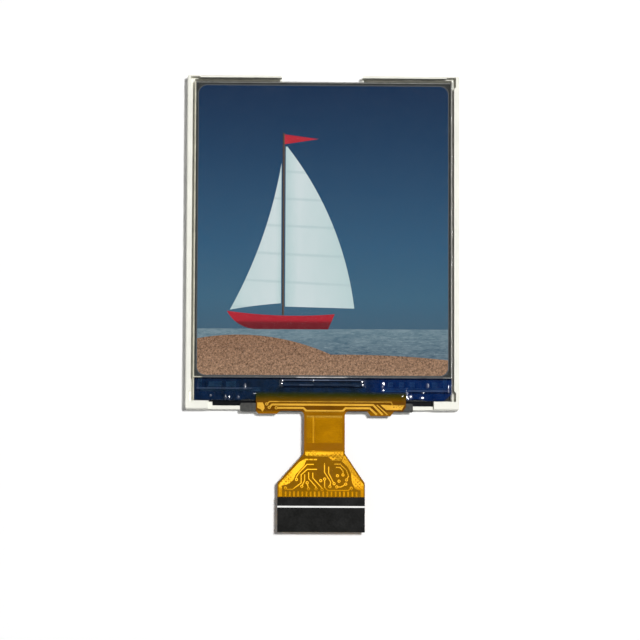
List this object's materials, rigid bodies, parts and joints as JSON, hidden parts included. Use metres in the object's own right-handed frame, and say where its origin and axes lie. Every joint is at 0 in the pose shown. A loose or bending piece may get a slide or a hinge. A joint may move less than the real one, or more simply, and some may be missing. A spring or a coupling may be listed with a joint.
{
  "type": "tft display module",
  "caption": "Small rectangular colour display panel in a white moulded backlight frame, with a coated driver ledge and an amber flexible circuit that ends in a stiffened contact tail.",
  "frame": {"origin": "centre of the frame's back face, which the module rests on", "axes": "+X to the picture's right, +Y to the picture's top, +Z out of the back towards the viewer"},
  "size_m": [0.033, 0.0554, 0.0018],
  "materials": {
    "frame_white": "moulded, faintly warm white",
    "reflector_white": "white sheet",
    "clear_guide": "clear moulded plastic",
    "diffuser_white": "milky film",
    "prism_film": "fine ribbed film",
    "black_tape": "black tape",
    "strip_black": "black cover film",
    "clear_tape": "clear tape",
    "lamp_white": "white moulded cup",
    "lamp_yellow": "yellow filled resin",
    "solder": "cast solder",
    "polarizer": "smooth film",
    "rear_polarizer": "smooth film",
    "glass": "clear glass with ground edges",
    "sealant": "cured sealant",
    "liquid_crystal": "thin layer",
    "black_matrix": "dark border",
    "sky": "lit picture, dark blue to grey blue",
    "water": "lit picture, grey blue",
    "shore": "lit picture, speckled tan",
    "sails": "lit picture, pale green white",
    "hull": "lit picture, dull red",
    "mast": "lit picture, dark brown",
    "track_film": "thin-film tracks",
    "silicon": "bare chip",
    "bond_film": "cured bond film",
    "blue_coating": "glossy cured resin",
    "amber_film": "amber film",
    "copper": "copper under an amber film",
    "amber_cover": "clear amber film",
    "black_board": "black stiffener, finely grained",
    "white_ink": "printed line",
    "gold_contact": "plated contact",
    "dark_tape": "dark grey tape"
  },
  "bodies": {
    "root": {"backlight_frame": "frame_white", "reflector_sheet": "reflector_white", "light_guide": "clear_guide", "diffuser_film": "diffuser_white", "prism_film_lower": "prism_film", "prism_film_upper": "prism_film", "rim_tape": "black_tape", "light_strip_circuit": "strip_black", "light_strip_tape": "clear_tape", "light_solder": "solder", "tab_solder": "solder", "rear_polarizer": "rear_polarizer", "array_glass": "glass", "cell_seal": "sealant", "liquid_crystal": "liquid_crystal", "black_matrix": "black_matrix", "colour_filter_glass": "glass", "front_polarizer": "polarizer", "ledge_tracks": "track_film", "driver_chip": "silicon", "chip_bond_film": "bond_film", "circuit_bond_film": "bond_film", "ledge_coating": "blue_coating", "circuit_base_film": "amber_film", "circuit_copper": "copper", "circuit_cover_film": "amber_cover", "tail_stiffener": "black_board", "stiffener_mark": "white_ink", "tail_contacts": "gold_contact", "support_tape": "dark_tape", "picture_sky": "sky", "picture_water": "water", "picture_shore": "shore", "picture_sails": "sails", "picture_hull": "hull", "picture_mast": "mast", "light_housing_1": "lamp_white", "light_window_1": "lamp_yellow", "light_housing_2": "lamp_white", "light_window_2": "lamp_yellow", "light_housing_3": "lamp_white", "light_window_3": "lamp_yellow", "light_housing_4": "lamp_white", "light_window_4": "lamp_yellow"}
  },
  "joints": []
}
